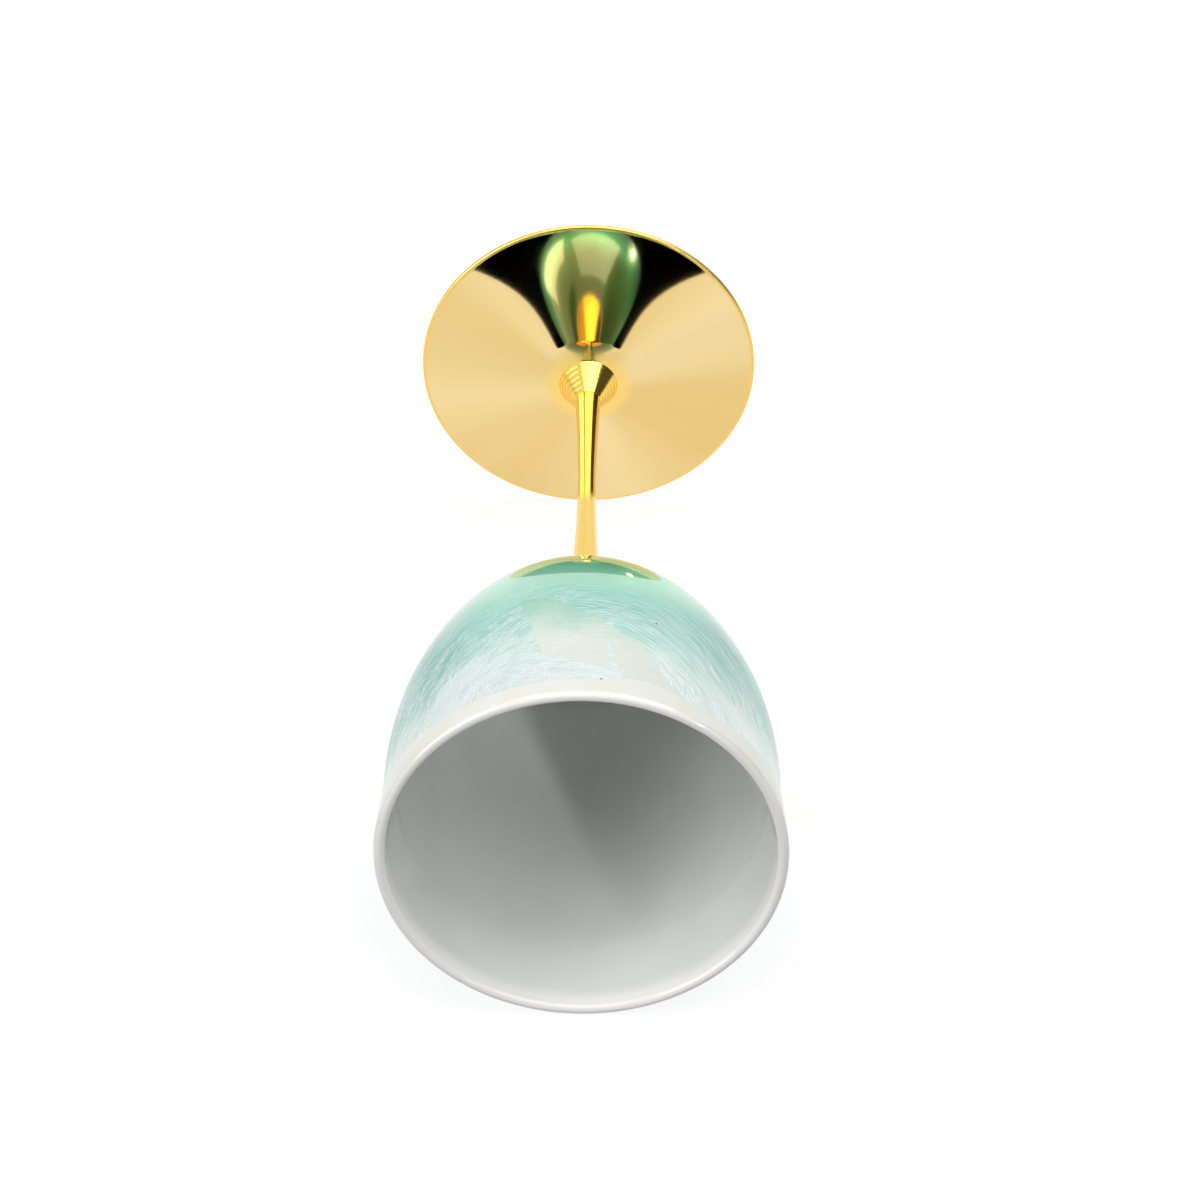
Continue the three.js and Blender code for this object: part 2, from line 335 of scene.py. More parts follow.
flank = ease(tree, reckon(tree, "ABSOLUTE", around), *FLANK)
teal_cloud = ease(tree, cloud(tree, point, 0.09, 1.0), 0.3, 0.6, 0.7, 1.0)
teal_patch = reckon(tree, "MULTIPLY", flank, teal_cloud)
sideways = place(tree, "ShaderNodeSeparateXYZ", {0: point}).outputs["X"]
leaning_up = reckon(tree, "MULTIPLY_ADD", sideways, TEAL_LEAN, up)
teal_height = reckon(tree, "MULTIPLY", ease(tree, up, *TEAL_STARTS), ease(tree, leaning_up, *TEAL_ENDS))
teal_mask = reckon(tree, "MULTIPLY", teal_patch, teal_height)
leaf_colour = mingle(tree, reckon(tree, "MULTIPLY", teal_mask, TEAL_SHARE), glaze_colour, LEAF_TEAL)
print("teal from", FLANK[0], "to", FLANK[1], "mm round from the front")

# %% [markdown]
# ## Overlaps, strokes and creases
# Where two sheets of leaf overlap the silver is whiter, and the edge of such a patch is straight. A
# mask for it could be painted, but straight lines between a few corners, in millimetres round from the
# front and up, stay sharp at any size. The strokes come next: a painted glint along each wrinkle's
# hairline and painted shade between them, then a few creases painted white as glints.

# %% Lay the overlaps
LEAF_LAPPED = shade(236, 244, 247)
LAP_SOFT, LAP_SHARE = 0.4, 0.65
LEAF_LAPS = (
    ((17.7, 118.8), (0.5, 126.3), (-4.0, 128.9), (-4.3, 132.5), (26, 132.5), (25, 121.8)),
    ((-2.0, 115.0), (-4.6, 115.0), (-6.6, 132.5), (-3.0, 132.5)),
)


def inside(tree, around, up, corners, soft):
    """1 inside a patch with straight edges between its corners, 0 outside."""
    middle = [sum(c[i] for c in corners) / len(corners) for i in (0, 1)]
    depth = None
    for (a0, u0), (a1, u1) in zip(corners, corners[1:] + corners[:1]):
        across, along = u1 - u0, a0 - a1
        length = math.hypot(across, along)
        side = math.copysign(1, across * (middle[0] - a0) + along * (middle[1] - u0))
        across, along = side * across / length, side * along / length
        edge = reckon(tree, "MULTIPLY_ADD", around, across, -(across * a0 + along * u0))
        edge = reckon(tree, "MULTIPLY_ADD", up, along, edge)
        depth = edge if depth is None else reckon(tree, "MINIMUM", depth, edge)
    return ease(tree, depth, -soft, soft)


for corners in LEAF_LAPS:
    lapped = reckon(tree, "MULTIPLY", inside(tree, around, up, corners, LAP_SOFT), LAP_SHARE)
    leaf_colour = mingle(tree, lapped, leaf_colour, LEAF_LAPPED)
print("overlaps:", len(LEAF_LAPS))

# %% Stroke the leaf
LEAF_GLINT_WHITE, LEAF_SHADOW = shade(250, 254, 254), shade(84, 168, 150)
STROKE_ZONE, STROKE_SHADE_SHARE, STROKE_GLINT_SHARE = (97, 115), 0.28, 0.8

strokes = use_group(tree, stroke_group, {"Point": point})
# Each wrinkle's hairline is painted white as a glint of the leaf, and the leaf between them is painted
# darker as shade.
painted_stroke_shade = mingle(tree, STROKE_SHADE_SHARE, leaf_colour, LEAF_SHADOW)
painted_stroke_glint = mingle(tree, STROKE_GLINT_SHARE, leaf_colour, LEAF_GLINT_WHITE)
stroke_glint_and_shade = mingle(tree, strokes["Stroke"], painted_stroke_shade, painted_stroke_glint)
stroke_zone = ease(tree, up, *STROKE_ZONE)
stroke_patch = ease(tree, cloud(tree, point, 0.16, 2.0), 0.3, 0.62, 0.45, 1.0)
leaf_colour = mingle(tree, reckon(tree, "MULTIPLY", stroke_zone, stroke_patch), leaf_colour, stroke_glint_and_shade)
# A few creases are painted white too, as glints.
crease_patch = ease(tree, cloud(tree, point, 0.13, 1.0), 0.44, 0.6, 0.1, 0.6)
painted_crease_glints = reckon(tree, "MULTIPLY", reckon(tree, "MULTIPLY", strokes["Crease"], crease_patch), stroke_zone)
leaf_colour = mingle(tree, painted_crease_glints, leaf_colour, LEAF_GLINT_WHITE)
print("strokes begin", STROKE_ZONE[0], "mm up and are full at", STROKE_ZONE[1])

# %% [markdown]
# ## Gaps in the leaf and the cream band
# Two gaps between the sheets show clay at the front, streaked like linen, and under the lip is a band
# of cream porcelain that the leaf doesn't reach. Both could be pieces of their own, but they lie in the
# same glaze, so they are masks: straight-edged patches as before, and a height. Noise tears the edges.

# %% Open the gaps
GAP_HIGH, GAP_LOW, LINEN = shade(132, 200, 176), shade(218, 225, 215), shade(238, 243, 237)
GAP_SOFT, GAP_FADE, LINEN_SHARES = 0.09, (107, 122), (0.12, 0.42)
LINEN_STRETCH = (0.7, 0.7, 4.4)
TEAR, TEAR_SHARE = 0.22, 0.5
LEAF_GAPS = (
    ((10.5, 106.8), (6.2, 107.4), (-3.2, 115.2), (-4.1, 128.4), (6.0, 124.0)),
    ((-3.3, 115.6), (-8.7, 119.6), (-16.5, 133.6), (-6.4, 132.4), (-3.8, 120.0)),
)

torn = wander(tree, point, 1.3, TEAR, 3.0, 0.65)
torn_around = reckon(tree, "MULTIPLY_ADD", torn, TEAR_SHARE, around)
torn_up = reckon(tree, "MULTIPLY_ADD", torn, TEAR_SHARE, up)
gap_mask = None
for corners in LEAF_GAPS:
    mask = inside(tree, torn_around, torn_up, corners, GAP_SOFT)
    gap_mask = mask if gap_mask is None else reckon(tree, "MAXIMUM", gap_mask, mask)
linen_point = reckon_vector(tree, "MULTIPLY", point, LINEN_STRETCH)["Vector"]
linen = ease(tree, cloud(tree, linen_point, 1.0, 2.0), 0.3, 0.7)
gap_colour = mingle(tree, ease(tree, glaze_height, *GAP_FADE), GAP_HIGH, GAP_LOW)
linen_share = reckon(tree, "MULTIPLY", linen, ease(tree, glaze_height, *GAP_FADE, *LINEN_SHARES))
gap_colour = mingle(tree, linen_share, gap_colour, LINEN)
clay_colour = mingle(tree, gap_mask, leaf_colour, gap_colour)
print("gaps:", len(LEAF_GAPS))

# %% Bare the cream band
CREAM, CREAM_SHADE = shade(234, 236, 227), shade(232, 232, 218)
CREAM_EDGE, CREAM_SOFT, CREAM_WANDER = 130.6, 0.15, 1.5
SIDE_TEARS = (1.0, 4.0)

edge_wander = wander(tree, point, 0.045, CREAM_WANDER, spread=(0.25, 0.75))
side_tear = reckon(tree, "MULTIPLY", torn, ease(tree, flank, 0, 1, *SIDE_TEARS))
cream_height = reckon(tree, "ADD", reckon(tree, "ADD", up, edge_wander), side_tear)
cream_mask = ease(tree, cream_height, CREAM_EDGE - CREAM_SOFT, CREAM_EDGE + CREAM_SOFT)
cream_colour = mingle(tree, ease(tree, cloud(tree, point, 0.12, 2.0), 0.45, 0.7), CREAM, CREAM_SHADE)
clay_colour = mingle(tree, cream_mask, clay_colour, cream_colour)
print("cream from about", CREAM_EDGE, "mm up")

# %% Dot the specks
SPECK_TONE = shade(62, 74, 66)
SPECKS = ((-2.7, 130.8), (-11.6, 112.8))
SPOT_EDGE, SPOT_CORE = 0.34, 0.12

speck_mask = use_group(tree, speck_group, {"Point": point, "Spacing": 13.0, "Radius": 0.16})["Speck"]
for speck_around, speck_up in SPECKS:
    to_speck = reckon(tree, "ABSOLUTE", reckon(tree, "SUBTRACT", around, speck_around))
    up_speck = reckon(tree, "ABSOLUTE", reckon(tree, "SUBTRACT", up, speck_up))
    spot = ease(tree, reckon(tree, "ADD", to_speck, up_speck), SPOT_EDGE, SPOT_CORE)
    speck_mask = reckon(tree, "MAXIMUM", speck_mask, spot)
clay_colour = mingle(tree, speck_mask, clay_colour, SPECK_TONE)
print("specks in fixed places:", len(SPECKS))

# %% [markdown]
# ## The clear coat
# The wrinkles belong to the leaf and the gloss to the glaze. One normal for both would wrinkle the
# gloss too, so the bump goes to the base layer while the clear coat above it stays smooth, heaviest at
# the bottom where the glaze is thick. The leaf shines less there, under more glaze.

# %% Coat the leaf
LEAF_SHINE, COAT_THINS = (82, 94, 0.08, 0.45), (98, 109, 1.0, 0.53)
CREASE_HEIGHT = 0.6


def raised(tree, height, strength, depth_mm):
    """The normal of a bump with a strength and a depth."""
    return place(tree, "ShaderNodeBump", {
        "Strength": strength, "Distance": depth_mm * MM, "Height": height}).outputs[0]


marks = use_group(tree, smudge_group, {"Point": point, "Size": 14.0})
leaf_mask = reckon(tree, "SUBTRACT", 1.0, reckon(tree, "MAXIMUM", gap_mask, cream_mask))
wrinkle = reckon(tree, "MULTIPLY_ADD", strokes["Crease"], CREASE_HEIGHT, strokes["Stroke"])
wrinkle = reckon(tree, "MULTIPLY", reckon(tree, "MULTIPLY", wrinkle, leaf_mask), stroke_zone)
glazed = place(tree, "ShaderNodeBsdfPrincipled", {
    "Base Color": clay_colour,
    "Metallic": reckon(tree, "MULTIPLY", leaf_mask, ease(tree, up, *LEAF_SHINE)),
    "Roughness": ease(tree, marks["Smudge"], 0, 1, 0.33, 0.4),
    "Normal": raised(tree, wrinkle, 0.35, 0.03),
    "Coat Weight": ease(tree, up, *COAT_THINS),
    "Coat Roughness": 0.025,
    "Coat IOR": 1.9,
})
tree.links.new(glazed.outputs[0], output["Surface"])
print("finish:", leaf_glaze.name, len(tree.nodes), "nodes")

# %% [markdown]
# ## White glaze and bare clay
# Inside, and over the lip, the porcelain has only a clear glaze: white, a little warm, and glossy. The
# peg and its seat are left unglazed, because the resin has to grip. A flat white would look like
# plastic, so the glaze pools slightly, carries a few specks and has a faint uneven skin.

# %% Finish: white glaze
WHITE_THIN, WHITE_THICK = shade(231, 233, 230), shade(227, 229, 226)
WHITE_DEEP, WHITE_LIP_LIGHTENED, PALE_SPECK = shade(219, 222, 216), shade(248, 247, 245), shade(150, 146, 136)
DEEP_ZONE, LIP_LIGHTENED_ZONE = (84, 77), (131, 134)

white_glaze, tree, output = new_finish("white_glaze")
where = use_group(tree, where_group)
marks = use_group(tree, smudge_group, {"Point": where["Point"], "Size": 11.0})
specks = use_group(tree, speck_group, {"Point": where["Point"], "Spacing": 12.0, "Radius": 0.14})
pooling = ease(tree, cloud(tree, where["Point"], 0.08, 2.0), 0.3, 0.7)
white = mingle(tree, pooling, WHITE_THIN, WHITE_THICK)
white = mingle(tree, ease(tree, where["Up"], *DEEP_ZONE), white, WHITE_DEEP)
# Towards the lip the white is painted lighter, standing in for the light the lip catches.
white = mingle(tree, ease(tree, where["Up"], *LIP_LIGHTENED_ZONE), white, WHITE_LIP_LIGHTENED)
white = mingle(tree, specks["Speck"], white, PALE_SPECK)
skin = cloud(tree, where["Point"], 0.35, 2.0)
glossy_white = place(tree, "ShaderNodeBsdfPrincipled", {
    "Base Color": white,
    "Roughness": ease(tree, marks["Smudge"], 0, 1, 0.018, 0.035),
    "IOR": 1.5,
    "Normal": raised(tree, skin, 0.06, 0.1),
})
tree.links.new(glossy_white.outputs[0], output["Surface"])
print("finish:", white_glaze.name)

# %% Finish: bare clay
CLAY_DARK, CLAY_LIGHT = shade(228, 222, 209), shade(240, 236, 226)

bare_clay, tree, output = new_finish("bare_clay")
where = use_group(tree, where_group)
clay_grain = cloud(tree, where["Point"], 3.5, 4.0, 0.65)
matt_clay = place(tree, "ShaderNodeBsdfPrincipled", {
    "Base Color": mingle(tree, clay_grain, CLAY_DARK, CLAY_LIGHT),
    "Roughness": ease(tree, clay_grain, 0.2, 0.8, 0.7, 0.85),
    "Normal": raised(tree, clay_grain, 0.4, 0.03),
})
tree.links.new(matt_clay.outputs[0], output["Surface"])
print("finish:", bare_clay.name)

# %% [markdown]
# ## Gilded metal
# Stem, collar and foot are turned brass, polished and gold plated. Polished gold is almost all
# reflection, so its colour is written once and what varies is the gloss: turning lines too fine to see
# one by one, and smudges. The collar, the land round it and the edge of the hem are left a little
# duller, and the flare's gold is deeper. The lines come from a group that the steel shares, which
# makes noise in thin rings about the axis.

# %% Group: turning lines
line_group, take, give = node_group("turning_lines", {
    "Out": FLOAT, "Up": FLOAT, "Pitch": FLOAT}, {"Line": FLOAT})
line_rate = reckon(line_group, "DIVIDE", 1.0, take["Pitch"])
line_point = place(line_group, "ShaderNodeCombineXYZ", {
    "X": reckon(line_group, "MULTIPLY", take["Out"], line_rate),
    "Y": reckon(line_group, "MULTIPLY", take["Up"], line_rate),
}).outputs[0]
line_group.links.new(cloud(line_group, line_point, 1.0, 2.0, 0.6), give["Line"])
print("group:", line_group.name)

# %% Helpers for turned metal
LINE_GLOSS, LINE_DEPTH, METAL_SMUDGE = 0.02, 0.01, 9.0


def blend(tree, share, first, second):
    """The first value, going over to the second as the share goes to 1."""
    return place(tree, "ShaderNodeMix", {0: share, 2: first, 3: second}, data_type="FLOAT").outputs[0]


def turned_metal(name, bright, dull, gloss, smudged, pitch, relief, zones=()):
    """A turned and plated metal: two tones, a range of gloss, turning lines of a pitch and relief, and
    zones with a tone and gloss of their own, reached between two radii."""
    material, tree, output = new_finish(name)
    where = use_group(tree, where_group)
    lines = use_group(tree, line_group, {"Out": where["Out"], "Up": where["Up"], "Pitch": pitch})["Line"]
    smudge = use_group(tree, smudge_group, {"Point": where["Point"], "Size": METAL_SMUDGE})["Smudge"]
    colour = mingle(tree, ease(tree, cloud(tree, where["Heading"], 1.1, 1.0), 0.32, 0.68), bright, dull)
    roughness = reckon(tree, "MULTIPLY_ADD", lines, LINE_GLOSS, ease(tree, smudge, 0, 1, gloss, smudged))
    for zone_start, zone_end, tone, zone_gloss in zones:
        share = ease(tree, where["Out"], zone_start, zone_end)
        colour = mingle(tree, share, colour, tone)
        roughness = blend(tree, share, roughness, zone_gloss)
    metal = place(tree, "ShaderNodeBsdfPrincipled", {
        "Base Color": colour,
        "Metallic": 1.0,
        "Roughness": roughness,
        "Normal": raised(tree, lines, relief, LINE_DEPTH),
    })
    tree.links.new(metal.outputs[0], output["Surface"])
    print("finish:", name, len(tree.nodes), "nodes")
    return material


print("turning lines are up to", LINE_DEPTH, "mm deep")

# %% Finishes: gold and zinc-plated steel
LAND_ZONE = (8.4, 5.6, shade(248, 212, 122), 0.13)
HEM_ZONE = (27.9, 28.4, shade(243, 206, 110), 0.34)

foot_gold = turned_metal(
    "foot_gold", shade(243, 220, 163), shade(230, 198, 126), 0.035, 0.05, 0.12, 0.02,
    (LAND_ZONE, HEM_ZONE))
stem_gold = turned_metal(
    "stem_gold", shade(254, 220, 124), shade(252, 213, 112), 0.05, 0.08, 0.1, 0.05)
flare_gold = turned_metal(
    "flare_gold", shade(243, 191, 74), shade(238, 181, 62), 0.18, 0.22, 0.1, 0.05)
collar_gold = turned_metal(
    "collar_gold", shade(254, 218, 112), shade(246, 204, 96), 0.13, 0.17, 0.08, 0.1)
satin_gold = turned_metal(
    "satin_gold", shade(236, 200, 124), shade(224, 184, 106), 0.28, 0.36, 0.22, 0.6)
zinc_steel = turned_metal(
    "zinc_plated_steel", shade(196, 199, 202), shade(170, 174, 178), 0.24, 0.36, 0.1, 0.5)

# %% [markdown]
# ## Turning pieces on a lathe
# Nearly every piece is turned, so one function does the work of a lathe: it takes a profile of radius
# and height for each angle, and joins neighbouring columns with faces. A Screw modifier does the same
# for a fixed profile, but a nut's six sides or a thread change with the angle. The profiles repeat
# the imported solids, with many more steps.

# %% Helpers for profiles
def oval(centre, across, rise, start, end, steps):
    """Points on an ellipse about (radius, height), from one angle to another in degrees."""
    angles = [math.radians(start + (end - start) * i / steps) for i in range(steps + 1)]
    return [(centre[0] + across * math.cos(a), centre[1] + rise * math.sin(a)) for a in angles]


def bend(start, pull, end, steps):
    """Points on a bend between two ends, drawn towards a third point."""
    shares = [i / steps for i in range(steps + 1)]
    return [tuple((1 - t) ** 2 * a + 2 * t * (1 - t) * b + t * t * c
                  for a, b, c in zip(start, pull, end)) for t in shares]


print("a bend in two steps:", bend((0, 0), (1, 0), (1, 1), 2))

# %% The lathe
FULL_TURN = 2 * math.pi
CREASE = math.radians(38)
AXIS = 1e-6


def columns_of(work, profile, angles):
    """A column of vertices for each angle. Points on the axis are shared."""
    axis_points, rows = {}, []
    for angle in angles:
        row = []
        for radius, height in profile(angle):
            if radius < AXIS:
                key = round(height, 4)
                if key not in axis_points:
                    axis_points[key] = work.verts.new((0, 0, height * MM))
                row.append(axis_points[key])
            else:
                across, along = radius * math.cos(angle), radius * math.sin(angle)
                row.append(work.verts.new((across * MM, along * MM, height * MM)))
        rows.append(row)
    return rows


def turned(name, profile, columns, finishes, finish_of=None, closed=False, sweep=FULL_TURN, start=0.0):
    """A mesh turned about +Z. The profile gives (radius, height) in mm for an angle, and runs upwards
    on the outside."""
    mesh = bpy.data.meshes.new(name)
    work = bmesh.new()
    whole = sweep == FULL_TURN
    angles = [start + sweep * i / columns for i in range(columns if whole else columns + 1)]
    rows = columns_of(work, profile, angles)
    steps = len(rows[0]) if closed else len(rows[0]) - 1
    for i in range(columns):
        this, after = rows[i], rows[(i + 1) % len(rows)]
        for j in range(steps):
            k = (j + 1) % len(this)
            corners = list(dict.fromkeys((this[j], after[j], after[k], this[k])))
            face = work.faces.new(corners)
            face.material_index = finish_of[j] if finish_of else 0
    if not whole:
        work.faces.new(rows[0])
        work.faces.new(reversed(rows[-1]))
    work.to_mesh(mesh)
    work.free()
    for finish in finishes:
        mesh.materials.append(finish)
    mesh.shade_smooth()
    mesh.set_sharp_from_angle(angle=CREASE)
    piece = bpy.data.objects.new(name, mesh)
    scene.collection.objects.link(piece)
    return piece


def stand_for(piece, node):
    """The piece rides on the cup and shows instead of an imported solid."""
    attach(piece, "root")
    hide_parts(node)
    print(piece.name, "for", node, len(piece.data.polygons), "faces")


print("edges sharper than", round(math.degrees(CREASE)), "degrees stay crisp")

# %% [markdown]
# ## The bowl
# Half an upright ellipse that flares to a round lip, thrown or cast, with a flat seat and a peg below.
# Sculpting would lose its even wall. It is turned in one piece, with three finishes by band: leaf and
# glaze outside, white glaze over the lip and inside, bare clay at the seat and peg. A hand-made bowl
# is never quite round, so its radius wanders by a few hundredths of a millimetre.

# %% Draw the bowl's profile
SEAT, PEG_END = 74.9, 71.4
BODY_DEPTH, WALL, FLOOR = 47.9, 2.1, 2.0
SEAT_RADIUS, PEG_RADIUS, PEG_EASE = 10.15, 2.0, 0.2
BELLY = SEAT + BODY_DEPTH * math.sqrt(1 - (SEAT_RADIUS / BOWL_RADIUS) ** 2)
LIP_RADIUS, LIP_ROUND = 32.0, 0.9
LIP_CENTRE, FLARE_PULL = BELLY + 14.1, BELLY + 3.0
INNER_RADIUS = BOWL_RADIUS - WALL

seat_angle = -math.degrees(math.acos(SEAT_RADIUS / BOWL_RADIUS))
peg_run = [(0, PEG_END), (PEG_RADIUS - PEG_EASE, PEG_END)]
peg_run += [(PEG_RADIUS, PEG_END + PEG_EASE), (PEG_RADIUS, SEAT)]
outside_run = oval((0, BELLY), BOWL_RADIUS, BODY_DEPTH, seat_angle, 0, 110)
outside_run += bend((BOWL_RADIUS, BELLY), (BOWL_RADIUS, FLARE_PULL), (LIP_RADIUS, LIP_CENTRE), 24)[1:]
lip_run = oval((LIP_RADIUS - LIP_ROUND, LIP_CENTRE), LIP_ROUND, LIP_ROUND, 0, 180, 20)[1:]
lip_inside = LIP_RADIUS - 2 * LIP_ROUND
inside_run = bend((lip_inside, LIP_CENTRE), (INNER_RADIUS, FLARE_PULL), (INNER_RADIUS, BELLY), 24)[1:]
inside_run += oval((0, BELLY), INNER_RADIUS, BELLY - SEAT - FLOOR, 0, -90, 96)[1:]
inside_run[-1] = (0, inside_run[-1][1])
bowl_run = peg_run + outside_run + lip_run + inside_run
print("bowl:", len(bowl_run), "points, top of the lip at", round(LIP_CENTRE + LIP_ROUND, 2), "mm")

# %% Turn the bowl
OVAL_WANDER, LOBE_WANDER = 0.03, 0.02
WANDER_START, WANDER_FADE = 80, 30
LEAF_BAND, WHITE_BAND, CLAY_BAND = 0, 1, 2
LIP_LEAF_STEPS = 3


def bowl_profile(angle):
    """The bowl's profile, with the slight wander of a hand-made one above the seat."""
    out_of_round = OVAL_WANDER * math.sin(2 * angle + 0.6) + LOBE_WANDER * math.sin(3 * angle + 2.1)
    points = []
    for radius, height in bowl_run:
        share = min(1, max(0, (height - WANDER_START) / WANDER_FADE))
        points.append((radius + out_of_round * share if radius > AXIS else radius, height))
    return points


bare_steps = len(peg_run) + 1
glazed_steps = len(outside_run) + LIP_LEAF_STEPS
bowl_bands = [CLAY_BAND] * bare_steps + [LEAF_BAND] * glazed_steps
bowl_bands += [WHITE_BAND] * (len(bowl_run) - len(bowl_bands))
bowl = turned("porcelain_bowl", bowl_profile, 256, (leaf_glaze, white_glaze, bare_clay), bowl_bands)
stand_for(bowl, "bowl")

# %% [markdown]
# ## The stem
# A slim turned stem with a waist, flaring like a trumpet to the flat rim that carries the bowl. Its
# tenon runs down through collar and foot and has a real thread at the end, where the nut holds it. A
# coil could be wound on for the thread, but would have to be joined to the tenon. Here it is part of
# the same profile: a ridge whose height moves on by one pitch with each turn.

# %% Draw the stem's profile
COLLAR_TOP, WAIST, NECK, FLARE_BEND = 11.7, 34.0, 59.9, 68.9
STEM_BOTTOM, STEM_PULL, STEM_WAIST, STEM_NECK, STEM_TOP = 2.2, 1.65, 1.5, 2.25, 10.0
RIM_THICK, RIM_EASE = 0.7, 0.15
SOCKET_RADIUS, SOCKET_FLOOR = 2.5, 71.0

neck_slope = (STEM_NECK - STEM_WAIST) / (NECK - WAIST) * 2
flare_pull = (STEM_NECK + neck_slope * (FLARE_BEND - NECK), FLARE_BEND)
rim_bottom = SEAT - RIM_THICK
shaft_run = bend((STEM_BOTTOM, COLLAR_TOP), (STEM_PULL, (COLLAR_TOP + WAIST) / 2), (STEM_WAIST, WAIST), 40)
shaft_run += bend((STEM_WAIST, WAIST), (STEM_WAIST, (WAIST + NECK) / 2), (STEM_NECK, NECK), 24)[1:]
flare_run = bend((STEM_NECK, NECK), flare_pull, (STEM_TOP - RIM_EASE, rim_bottom), 48)[1:]
flare_run += [(STEM_TOP, rim_bottom + RIM_EASE), (STEM_TOP, SEAT - RIM_EASE), (STEM_TOP - RIM_EASE, SEAT)]
flare_run += [(SOCKET_RADIUS, SEAT), (SOCKET_RADIUS, SOCKET_FLOOR), (0, SOCKET_FLOOR)]
print("stem:", len(shaft_run), "points on the shaft,", len(flare_run), "on flare, rim and socket")

# %% Turn the stem
TENON_RADIUS, TENON_END, THREAD_END, THREAD_RUNOUT = 1.5, 2.3, 5.5, 0.1
TENON_TIP, TIP_SLOPE = 1.15, 0.9
THREAD_PITCH, THREAD_DEPTH, THREAD_STEPS = 0.5, 0.26, 52
GROOVE_STEEP, CREST_WIDTH = 1.6, 0.3


def stem_profile(angle):
    """Threaded tenon, shoulder, waisted shaft, flare, rim and socket."""
    points = [(0, TENON_END)]
    for i in range(THREAD_STEPS + 1):
        height = TENON_END + (THREAD_END - TENON_END) * i / THREAD_STEPS
        phase = (height / THREAD_PITCH - angle / FULL_TURN) % 1
        groove = min(1, max(0, GROOVE_STEEP * (1 - abs(2 * phase - 1)) - CREST_WIDTH))
        tip = TENON_TIP + TIP_SLOPE * (height - TENON_END)
        points.append((min(TENON_RADIUS - THREAD_DEPTH * groove, tip), height))
    points += [(TENON_RADIUS, THREAD_END + THREAD_RUNOUT), (TENON_RADIUS, COLLAR_TOP)]
    return points + shaft_run + flare_run


stem_steps = len(stem_profile(0)) - 1
stem_bands = [0 if j < stem_steps - len(flare_run) else 1 for j in range(stem_steps)]
stem = turned("waisted_stem", stem_profile, 128, (stem_gold, flare_gold), stem_bands)
stand_for(stem, "stem")

# %% [markdown]
# ## The ringed collar
# Six rings, each a little smaller than the one below, lead from foot to stem. Together they make a
# cone, so it mirrors the room as a cone does, with fine grooves across. A bump could draw grooves, but
# their notches show in the outline, so they are turned for real, and each ring is slightly crowned.

# %% Turn the ringed collar
FOOT_TOP, BORE_RADIUS = 6.4, 1.6
COLLAR_BASE, COLLAR_NECK, COLLAR_RINGS = 5.1, 2.25, 6
GROOVE_WIDTH, GROOVE_DEPTH, RING_CROWN, RING_STEPS = 0.25, 0.07, 0.012, 8


def on_collar(height, depth):
    """A point at a height on the collar's cone, or below its surface by a depth."""
    share = (height - FOOT_TOP) / (COLLAR_TOP - FOOT_TOP)
    return (COLLAR_BASE + (COLLAR_NECK - COLLAR_BASE) * share - depth, height)


ring_pitch = (COLLAR_TOP - FOOT_TOP + GROOVE_WIDTH) / COLLAR_RINGS
collar_run = [(BORE_RADIUS, FOOT_TOP)]
for ring in range(COLLAR_RINGS):
    ring_bottom = FOOT_TOP + ring_pitch * ring
    if ring:
        collar_run.append(on_collar(ring_bottom - GROOVE_WIDTH / 2, GROOVE_DEPTH))
    for step in range(RING_STEPS + 1):
        across = 2 * step / RING_STEPS - 1
        ring_height = ring_bottom + (ring_pitch - GROOVE_WIDTH) * step / RING_STEPS
        collar_run.append(on_collar(ring_height, RING_CROWN * across * across))
collar_run.append((BORE_RADIUS, COLLAR_TOP))
collar = turned("six_ring_collar", lambda angle: collar_run, 160, (collar_gold,), closed=True)
stand_for(collar, "ringed_collar")

# %% [markdown]
# ## The conical foot
# A thin spun cone, mirror polished on top and satin underneath, with its edge turned in to a hem that
# stands on the table. A plain cone would be quicker, but what the mirror shows depends on its slope, so
# the upper face is one smooth curve from the edge to a small, nearly flat land round the collar.

# %% Turn the foot
FOOT_RADIUS, FOOT_ROUND, LAND_RADIUS, HEM_RADIUS = 28.7, 0.45, 7.4, 25.9
LAND_START, LAND_PULL, LAND_END = 8.8, (7.9, 6.25), (4.9, 6.62)
FOOT_EDGE, FOOT_SHEET = 0.9, 0.8
INNER_SLOPE, EDGE_SLOPE = math.tan(math.radians(16.5)), math.tan(math.radians(16))
FACE_END = FOOT_RADIUS - FOOT_ROUND
FACE_RUN = FACE_END - LAND_RADIUS


def foot_face(radius):
    """Height of the polished face at a radius."""
    t = (radius - LAND_RADIUS) / FACE_RUN
    height = FOOT_TOP - (FOOT_TOP - FOOT_EDGE) * t * t * (3 - 2 * t)
    return height - FACE_RUN * (t * (1 - t) ** 2 * INNER_SLOPE - t * t * (1 - t) * EDGE_SLOPE)


def face_run(start, end, lowered, steps):
    """Points along the polished face between two radii, lowered for the underside."""
    radii = [start + (end - start) * i / steps for i in range(steps + 1)]
    return [(radius, foot_face(radius) - lowered) for radius in radii]


foot_run = [(HEM_RADIUS, 0)] + oval((FACE_END, FOOT_ROUND), FOOT_ROUND, FOOT_ROUND, -90, 90, 20)
foot_run += face_run(FACE_END, LAND_START, 0, 90)[1:]
foot_run += bend(foot_run[-1], LAND_PULL, LAND_END, 16)[1:]
polished_steps = len(foot_run)
foot_run += [(BORE_RADIUS, FOOT_TOP), (BORE_RADIUS, FOOT_TOP - FOOT_SHEET)]
foot_run += face_run(LAND_RADIUS, HEM_RADIUS, FOOT_SHEET, 60)
foot_bands = [0 if j < polished_steps else 1 for j in range(len(foot_run))]
foot = turned("spun_foot", lambda angle: foot_run, 256, (foot_gold, satin_gold), foot_bands, closed=True)
stand_for(foot, "foot")

